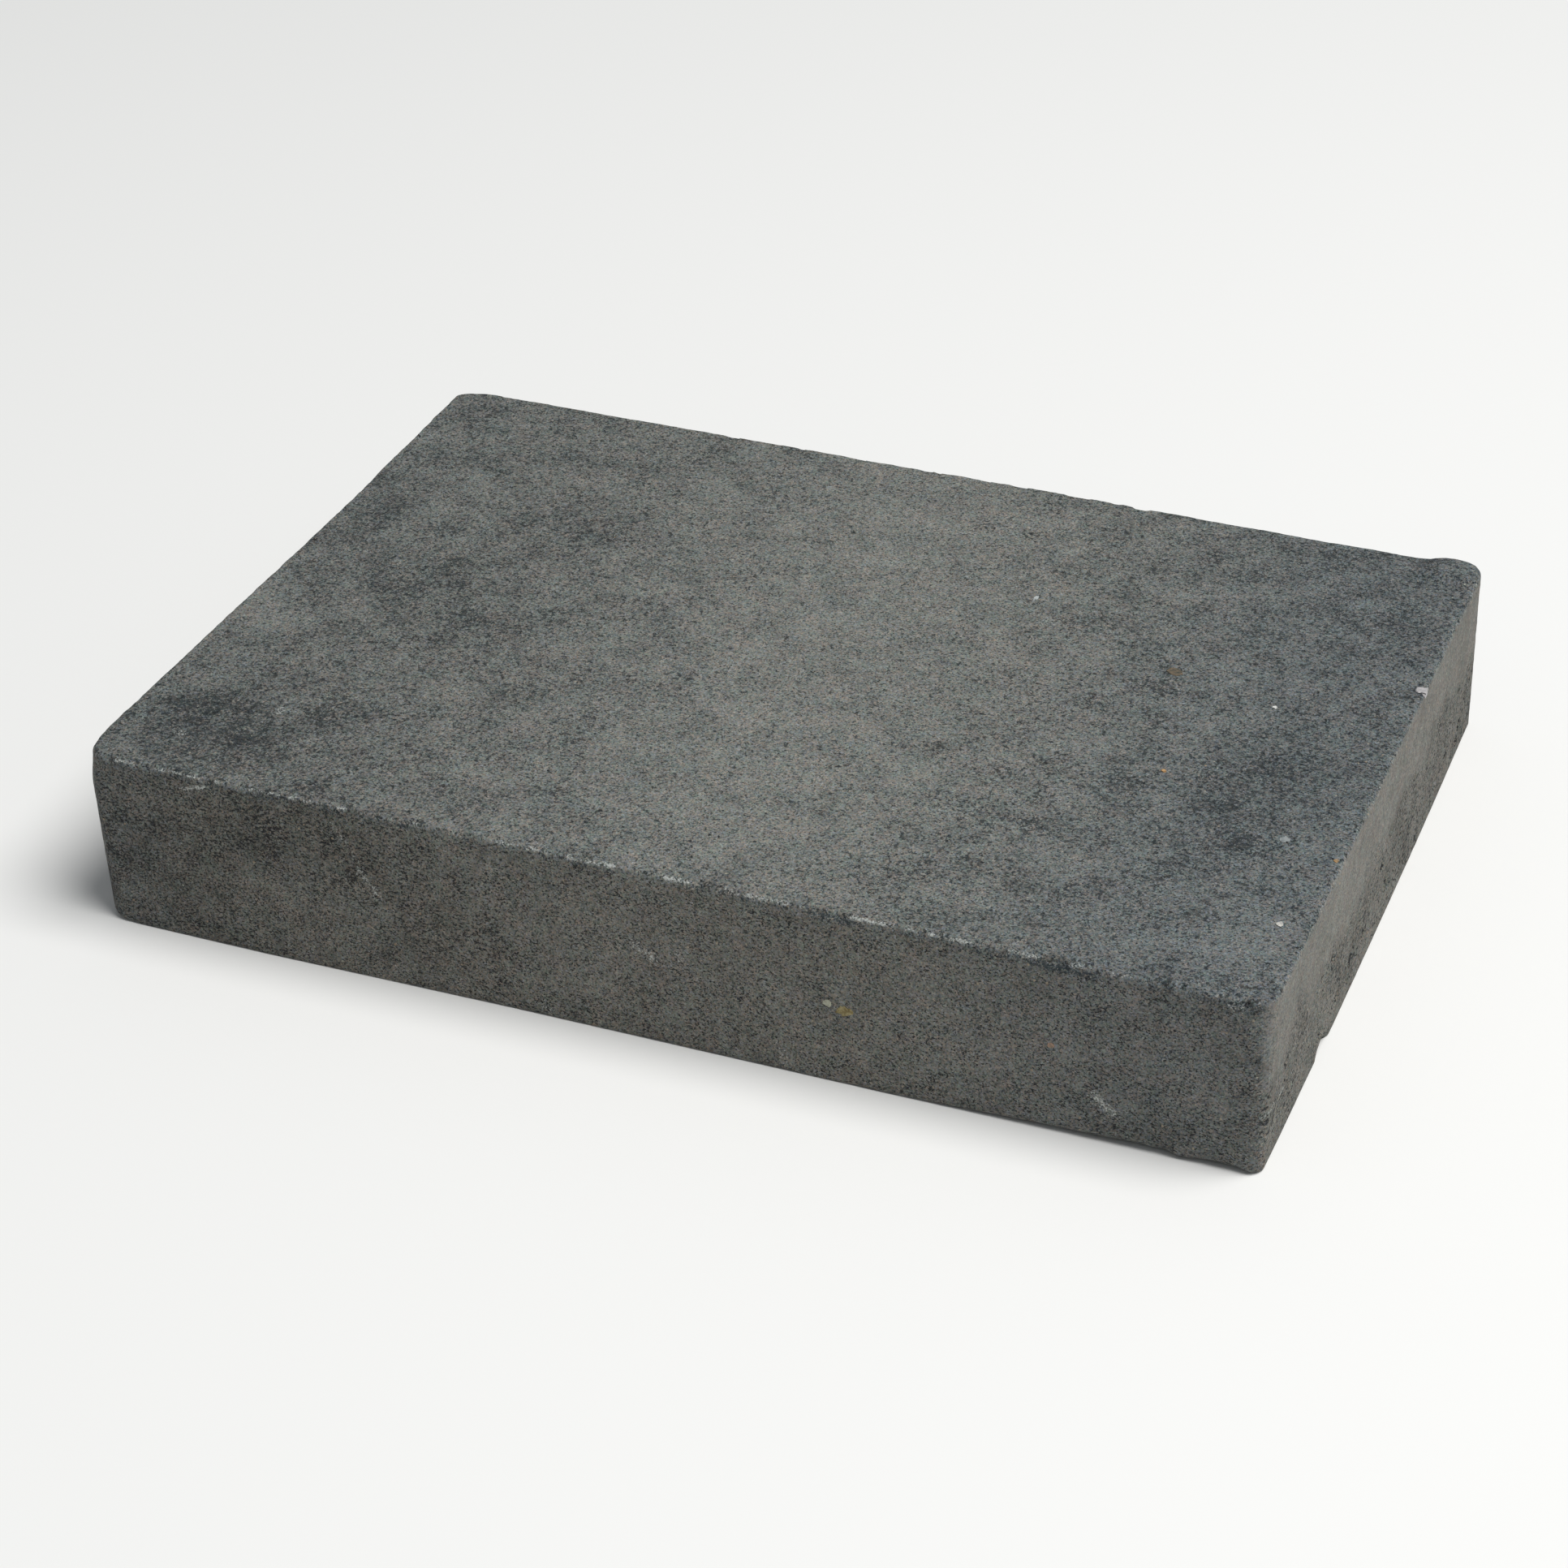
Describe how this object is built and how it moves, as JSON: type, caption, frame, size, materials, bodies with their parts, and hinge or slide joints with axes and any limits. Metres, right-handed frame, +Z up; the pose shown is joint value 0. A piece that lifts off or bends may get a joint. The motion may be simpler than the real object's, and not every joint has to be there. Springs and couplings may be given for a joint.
{
  "type": "sharpening whetstone",
  "caption": "Rectangular coarse-grit bench stone with softened edges, worn corners and large mineral grains set flush in its faces.",
  "frame": {"origin": "under the middle of the stone, on the surface that it rests on", "axes": "+X along the stone's length towards its smoother end, +Y away from the long front side, +Z up out of the honing face"},
  "size_m": [0.2, 0.1412, 0.0331],
  "materials": {
    "bonded_stone": "matt, gritty, cement-grey bond with dark and pale grit",
    "ochre_pebble": "matt, broken",
    "pale_grain": "matt, broken",
    "quartz_grain": "semi-gloss, broken",
    "brown_grain": "matt",
    "orange_grain": "matt",
    "rust_grain": "matt"
  },
  "bodies": {
    "root": {"stone_body": "bonded_stone", "ochre_pebble_front": "ochre_pebble", "pale_grain_front": "pale_grain", "quartz_grain_right_edge": "quartz_grain", "quartz_grain_top_right": "quartz_grain", "pale_flat_grain_top": "pale_grain", "white_grain_front_left": "pale_grain", "brown_grain_top": "brown_grain", "white_chip_top": "quartz_grain", "orange_grain_top": "orange_grain", "orange_grain_right_edge": "orange_grain", "white_sliver_top": "quartz_grain", "rust_grain_front": "rust_grain"}
  },
  "joints": []
}
